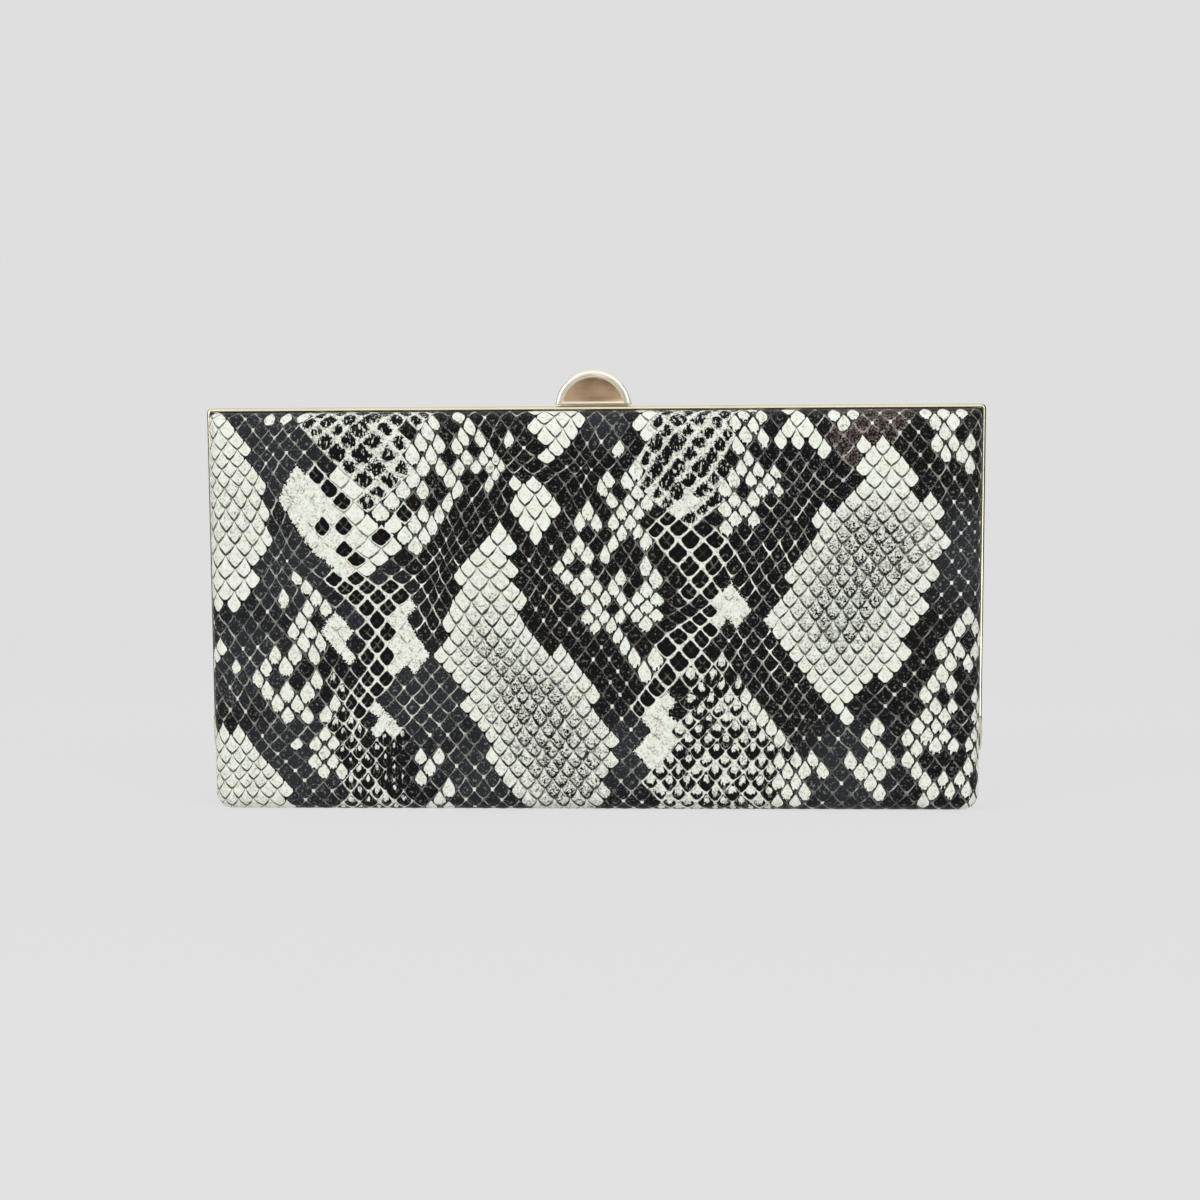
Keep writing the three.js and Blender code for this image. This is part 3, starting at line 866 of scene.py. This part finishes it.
def blotPrint(s):
    # ragged black on speckled white: in the middle of each scale, in rows, or in its lower half
    a, b = s.fromMiddle
    row = times(a, ramp(s.extra, -0.1, -0.9, 1.0, 0.6))
    cubes = [power(side, 3.0) for side in (row, b)]
    middle = power(plus(*cubes), 1 / 3)
    middle = plus(middle, spread(s.fine, 0.8), spread(s.coarse, 1.2))
    rise = minus(s.upright, 0.36)
    squares = [times(way, way) for way in (rise, s.sideways)]
    fromTop = calc("SQRT", plus(*squares))
    blob = times(s.extra, 0.42)  # the white that is left at the top of a scale
    low = plus(times(minus(blob, fromTop), 1.7), 0.87, spread(s.streak, 1.3), spread(s.coarse, 0.8))
    outline = plus(roundCell(s, 5.0), spread(s.fine, 0.25), spread(s.coarse, 0.3), -0.05)
    footed = ramp(s.extra, 0.0, 0.5)
    reach = mixTone(footed, middle, largest(low, outline))
    inRows = ramp(s.extra, -0.1, -0.5)
    size = plus(scaled(s.chance, 0.35, 0.62), times(footed, 0.08), times(inRows, -0.05))
    shape = ramp(reach, plus(size, 0.08), minus(size, 0.08))
    flecks = times(ramp(s.streak, 0.56, 0.62), ramp(s.cloud, 0.4, 0.55), scaled(footed, -0.6, 0.75))
    return mixTone(shape, mottled(s, 0.35), flecks)


def smearPrint(s, torn):
    # rubbed white: mottled, with the outlines of its scales showing here and there
    outline = times(brokenOutline(s, 0.035), ramp(s.coarse, 0.45, 0.6), 0.6)
    return times(mottled(s, 0.2), minus(1.0, outline), torn)


def leatherMaterial():
    material, tree, shader = newMaterial("snakePrintLeather")
    s = scaleSockets(tree)
    whole, torn = whiteEdges(s)
    night = nightPrint(s)
    prints = (
        ("bone", bonePrint(s, whole)),
        ("drop", dropPrint(s, night)),
        ("net", netPrint(s)),
        ("blot", blotPrint(s)),
        ("smear", smearPrint(s, torn)),
    )
    tone = night
    for name, shade in prints:
        tone = mixTone(getattr(s, name), tone, shade)

    ground = mixColour(ramp(s.slow, 0.42, 0.6), skin["black"], skin["brownBlack"])
    onNight = minus(1.0, plus(*[getattr(s, name) for name, shade in prints]))
    ground = mixColour(times(s.extra, onNight), ground, skin["slate"])
    bloom = times(ramp(s.fine, 0.42, 0.66), ramp(roundCell(s, 4.0), 0.35, 0.85, 0.25, 0.75))
    ground = mixColour(times(bloom, s.rust), ground, skin["bloom"])
    pale = mixColour(ramp(s.coarse, 0.3, 0.7), skin["white"], skin["cream"])
    feed(mixColour(tone, ground, pale), shader.inputs["Base Color"])
    feed(ramp(s.fine, 0.3, 0.7, *skin["roughness"]), shader.inputs["Roughness"])
    shader.inputs["Specular IOR Level"].default_value = skin["gloss"]

    grain = noiseOf(tree, skin["grain"], 3.0, place=(1, 6, 4))
    bump = tree.nodes.new("ShaderNodeBump")
    bump.inputs["Strength"].default_value = 1.0
    bump.inputs["Distance"].default_value = skin["grainHeight"] * mm
    feed(grain, bump.inputs["Height"])
    feed(bump.outputs["Normal"], shader.inputs["Normal"])
    return material


def backingMaterial():
    material, tree, shader = newMaterial("leatherBacking")
    nap = noiseOf(tree, 0.6, 3.0)
    feed(mixColour(nap, *skin["backing"]), shader.inputs["Base Color"])
    feed(ramp(nap, 0.3, 0.7, *skin["backingRoughness"]), shader.inputs["Roughness"])
    return material


leathers = [leatherMaterial(), backingMaterial()]
leatherPiece = addPiece("printed_leather", makeLeather(), leathers, "leather", "leather_case")
wall = leatherPiece.modifiers.new("wall", "SOLIDIFY")
wall.thickness = leatherCase["wall"] * mm
wall.offset = -1.0
wall.material_offset = 1
wall.material_offset_rim = 1
print("leather laid:", len(leatherPiece.data.polygons), "faces")


# Metal

metal = {
    "frameGold": srgb(220, 212, 184),
    "frameOlive": srgb(142, 138, 106),  # painted reflection: a darker olive on the upper part of the strip on the right
    "paintedReflectionAcross": (93.6, 94.6),  # across the width, mm
    "paintedReflectionUp": (30.0, 75.0),  # and up
    "claspGold": srgb(240, 232, 214),
    "faceGold": srgb(214, 184, 146),
    "faceShade": srgb(150, 118, 92),
    "faceHeights": (100.0, 105.5),  # painted reflection: from the lit foot of the clasp's face to its shaded top
    "dull": 0.86,  # how much darker a worn spot is
    "frameRoughness": (0.14, 0.3),  # bright and worn
    "claspRoughness": (0.28, 0.38),
    "faceRoughness": (0.34, 0.46),
    "claspMetallic": 0.6,  # satin plate
    "edge": 0.1,  # bevel, mm
    "bead": 0.75,  # rounding of the frame's outer rim, in front and behind
    "rimFrom": 4.4,  # from the middle plane to the rim
    "beadEnd": 22.6,  # the rounded rim ends at this height, above the hinge
    "halfGap": 0.15,  # from each half of the frame to the plane where they meet, as built
    "shutGap": 0.015,  # and as it looks when shut
    "heart": (0, 0, 40),  # middle of the wallet
    "claspOuter": 0.62,  # rounding of the border round the clasp's sunk face, outside and inside
    "claspInner": 0.34,
    "claspDepth": 4.3,  # from the middle plane to just under that border
    "claspSunk": (0.25, 0.55),  # the sunk face lies this far behind it
    "claspHeart": (0, 0, 101.5),  # middle of the half moon
    "claspFoot": 99.0,  # the half moon's straight lower edge lies below this height and stays sharper
}


def handlingWear():
    # fine rubbed scratches and finger marks: a mask that changes over the surface
    group = bpy.data.node_groups.new("handlingWear", "ShaderNodeTree")
    group.interface.new_socket("Amount", in_out="INPUT", socket_type="NodeSocketFloat")
    group.interface.new_socket("Wear", in_out="OUTPUT", socket_type="NodeSocketFloat")
    entry = group.nodes.new("NodeGroupInput")
    leave = group.nodes.new("NodeGroupOutput")
    scratch = noiseOf(group, 0.5, 2.0, stretch=(0.06, 1, 1))
    mark = noiseOf(group, 9.0, 2.0, place=(4, 4, 4))
    both = plus(ramp(scratch, 0.55, 0.75), ramp(mark, 0.45, 0.7))
    feed(times(both, entry.outputs["Amount"]), leave.inputs["Wear"])
    return group


wearGroup = handlingWear()


def wearOf(tree, amount):
    node = tree.nodes.new("ShaderNodeGroup")
    node.node_tree = wearGroup
    node.inputs["Amount"].default_value = amount
    return node.outputs["Wear"]


def objectPlace(tree):
    # X, Y and Z of the piece itself
    spot = tree.nodes.new("ShaderNodeTexCoord")
    split = tree.nodes.new("ShaderNodeSeparateXYZ")
    tree.links.new(spot.outputs["Object"], split.inputs[0])
    return split.outputs


def goldMaterial(name, colour, roughness, metallic, olive=None):
    material, tree, shader = newMaterial(name)
    wear = wearOf(tree, 0.5)
    dull = [level * metal["dull"] for level in colour[:3]] + [1.0]
    plate = mixColour(wear, colour, dull)
    # a painted reflection: the upper part of the frame's right strip darkened to olive
    if olive:
        x, y, z = objectPlace(tree)
        right = ramp(x, *[edge * mm for edge in metal["paintedReflectionAcross"]])
        upper = ramp(z, *[height * mm for height in metal["paintedReflectionUp"]])
        plate = mixColour(times(right, upper), plate, olive)
    feed(plate, shader.inputs["Base Color"])
    feed(mixTone(wear, *roughness), shader.inputs["Roughness"])
    shader.inputs["Metallic"].default_value = metallic
    return material


def brushedFace(name):
    # brushed rose gold, with a painted reflection that darkens it towards the top of the half moon
    material, tree, shader = newMaterial(name)
    wear = wearOf(tree, 0.6)
    x, y, z = objectPlace(tree)
    low, high = [height * mm for height in metal["faceHeights"]]
    lines = spread(noiseOf(tree, 0.2, 2.0, stretch=(0.04, 1, 1)), 0.5)
    clouds = spread(noiseOf(tree, 3.5, 2.0, place=(7, 3, 3)), 1.2)
    # painted reflection: darker towards the top, broken up by the brushed lines and soft clouds
    shade = plus(ramp(z, low, high), lines, clouds)
    feed(mixColour(shade, metal["faceGold"], metal["faceShade"]), shader.inputs["Base Color"])
    feed(mixTone(wear, *metal["faceRoughness"]), shader.inputs["Roughness"])
    shader.inputs["Metallic"].default_value = 1.0
    return material


def sharpEdges(bm):
    inner = [edge for edge in bm.edges if len(edge.link_faces) == 2]
    return [edge for edge in inner if edge.calc_face_angle() > math.radians(35)]


def facingAway(edge, heart):
    # above 0 where an edge faces away from the heart, as seen from the front
    outward = (edge.verts[0].co + edge.verts[1].co) / 2 - Vector(heart) * mm
    outward.y = 0
    return sum((face.normal for face in edge.link_faces), Vector()).dot(outward)


def onOuterRim(edge):
    # on the front or back rim of the frame, and facing away from the middle of the wallet
    onRim = all(abs(vert.co.y) > metal["rimFrom"] * mm for vert in edge.verts)
    above = min(vert.co.z for vert in edge.verts) > (metal["beadEnd"] - 0.01) * mm
    return onRim and above and facingAway(edge, metal["heart"]) > 0


def claspSide(edge):
    # on the half moon's outermost plane: above 0 round its outline, below 0 round its sunk face
    if any(abs(vert.co.y) < metal["claspDepth"] * mm for vert in edge.verts):
        return 0.0
    return facingAway(edge, metal["claspHeart"])


def onClaspOutline(edge):
    atFoot = all(vert.co.z < metal["claspFoot"] * mm for vert in edge.verts)
    return claspSide(edge) > 0 and not atFoot


def onClaspInside(edge):
    return claspSide(edge) < 0


def shutSeam(bm):
    # the frame's halves come together above the hinges, so that no light shows between them
    for vert in bm.verts:
        onSeam = abs(abs(vert.co.y) - metal["halfGap"] * mm) < 0.01 * mm
        if onSeam and vert.co.z > (metal["beadEnd"] - 0.01) * mm:
            vert.co.y *= metal["shutGap"] / metal["halfGap"]


def bevelEdges(bm, edges, size, segments, clamp):
    bmesh.ops.bevel(bm, geom=edges, offset=size * mm, offset_type="OFFSET", segments=segments,
                    profile=0.5, affect="EDGES", clamp_overlap=clamp, material=-1)


def roundedCopy(node, beads=()):
    # a merged copy of a CAD piece with its sharp edges rounded, the picked ones more
    bm = bmesh.new()
    bm.from_mesh(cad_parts[node].data)
    bmesh.ops.remove_doubles(bm, verts=bm.verts, dist=0.002 * mm)
    bmesh.ops.dissolve_limit(bm, angle_limit=math.radians(0.6), verts=bm.verts, edges=bm.edges)
    if beads:
        bmesh.ops.bisect_plane(bm, geom=[*bm.verts, *bm.edges, *bm.faces], dist=0.001 * mm,
                               plane_co=(0, 0, metal["beadEnd"] * mm), plane_no=(0, 0, 1))
        if "frame" in node:
            shutSeam(bm)
    for picked, bead in beads:
        bevelEdges(bm, [edge for edge in sharpEdges(bm) if picked(edge)], bead, 5, False)
    bevelEdges(bm, sharpEdges(bm), metal["edge"], 2, True)
    bmesh.ops.recalc_face_normals(bm, faces=bm.faces)
    mesh = smoothMesh(node, bm)
    mesh.set_sharp_from_angle(angle=math.radians(40))
    return mesh


# the frame's gold, with the painted reflection on its upper right strip
frameGold = goldMaterial("paleGoldFrame", metal["frameGold"], metal["frameRoughness"], 1.0,
                         metal["frameOlive"])
claspGold = goldMaterial("polishedClaspRim", metal["claspGold"], metal["claspRoughness"],
                         metal["claspMetallic"])
claspFace = brushedFace("brushedClaspFace")

for node in ("front_frame", "back_frame"):
    bent = roundedCopy(node, [(onOuterRim, metal["bead"])])
    addPiece("gold_" + node, bent, [frameGold], "frame_metal", node)
for node in ("rivet_left", "rivet_right"):
    addPiece("gold_" + node, roundedCopy(node), [frameGold], "frame_metal", node)
for node in ("clasp_front", "clasp_back"):
    borders = [(onClaspOutline, metal["claspOuter"]), (onClaspInside, metal["claspInner"])]
    moon = roundedCopy(node, borders)
    clasp = addPiece("gold_" + node, moon, [claspGold, claspFace], "clasp_metal", node)
    low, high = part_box(node)
    outer = low.y if node == "clasp_front" else high.y
    least, most = metal["claspSunk"]
    for face in clasp.data.polygons:
        sunk = abs(abs(outer) - abs(face.center.y))
        if abs(face.normal.y) > 0.95 and least * mm < sunk < most * mm:
            face.material_index = 1
print("metal finished")


# Stage and light

stage = {
    "half": 2.0,  # m
    "front": 0.7,
    "behind": 0.5,
    "sweep": 0.45,
    "height": 1.6,
    "grey": 0.08,
    "glow": 0.67,
    "world": 0.06,  # light from beyond the sweep
    "worldSeen": 0.68,  # how much paler it is where the camera looks past the sweep
}


def only(geom, kind):
    return [item for item in geom if isinstance(item, kind)]


def makeSweep(s):
    bm = bmesh.new()
    first = bm.verts.new((-s["half"], -s["front"], 0))
    second = bm.verts.new((s["half"], -s["front"], 0))
    edge = bm.edges.new((first, second))
    run = bmesh.ops.extrude_edge_only(bm, edges=[edge])["geom"]
    line = only(run, bmesh.types.BMVert)
    bmesh.ops.translate(bm, verts=line, vec=(0, s["front"] + s["behind"], 0))
    edge = [item for item in only(run, bmesh.types.BMEdge) if set(item.verts) == set(line)]
    bend = bmesh.ops.spin(bm, geom=edge + line, cent=(0, s["behind"], s["sweep"]), axis=(1, 0, 0),
                          angle=math.pi / 2, steps=24)["geom_last"]
    top = bmesh.ops.extrude_edge_only(bm, edges=only(bend, bmesh.types.BMEdge))["geom"]
    bmesh.ops.translate(bm, verts=only(top, bmesh.types.BMVert), vec=(0, 0, s["height"]))
    bmesh.ops.recalc_face_normals(bm, faces=bm.faces)
    mesh = smoothMesh("sweep", bm)
    material, tree, shader = newMaterial("paleSweep")
    looks = {"Base Color": (s["grey"], s["grey"], s["grey"], 1), "Roughness": 1.0, "Specular IOR Level": 0.0,
             "Emission Color": (1, 1, 1, 1), "Emission Strength": s["glow"]}
    for name, value in looks.items():
        shader.inputs[name].default_value = value
    mesh.materials.append(material)
    sweep = addObject("sweep", mesh)
    sweep.location.z = -0.05 * mm


lights = [
    {"name": "overhead", "at": (0, -0.1, 1.0), "aim": (0, 0, 0), "size": (1.8, 1.2), "power": 6.8},
    {"name": "front", "at": (0, -1.1, 0.85), "aim": (0, 0, 0.1), "size": (1.8, 0.8), "power": 5.5},
    {"name": "left", "at": (-1.0, -0.9, 0.55), "aim": (0, 0, 0.05), "size": (0.8, 0.8), "power": 8.5},
    {"name": "right", "at": (1.0, -0.95, 0.5), "aim": (0, 0, 0.05), "size": (0.8, 0.8), "power": 8.0},
]


def setLight(s):
    for l in lights:
        lamp = bpy.data.lights.new(l["name"], "AREA")
        lamp.shape = "RECTANGLE"
        lamp.size, lamp.size_y = l["size"]
        lamp.energy = l["power"]
        holder = addObject(l["name"], lamp)
        turn = (Vector(l["at"]) - Vector(l["aim"])).to_track_quat("Z", "Y")
        holder.matrix_world = Matrix.Translation(l["at"]) @ turn.to_matrix().to_4x4()
    world = bpy.data.worlds.new("studio")
    bpy.context.scene.world = world
    world.use_nodes = True
    tree = world.node_tree
    path = tree.nodes.new("ShaderNodeLightPath")
    backdrop = tree.nodes["Background"]
    backdrop.inputs["Color"].default_value = (1, 1, 1, 1)
    seen = scaled(path.outputs["Is Camera Ray"], s["worldSeen"], s["world"])
    feed(seen, backdrop.inputs["Strength"])
    bpy.context.scene.view_settings.view_transform = "Standard"


makeSweep(stage)
setLight(stage)
print("stage and light set")
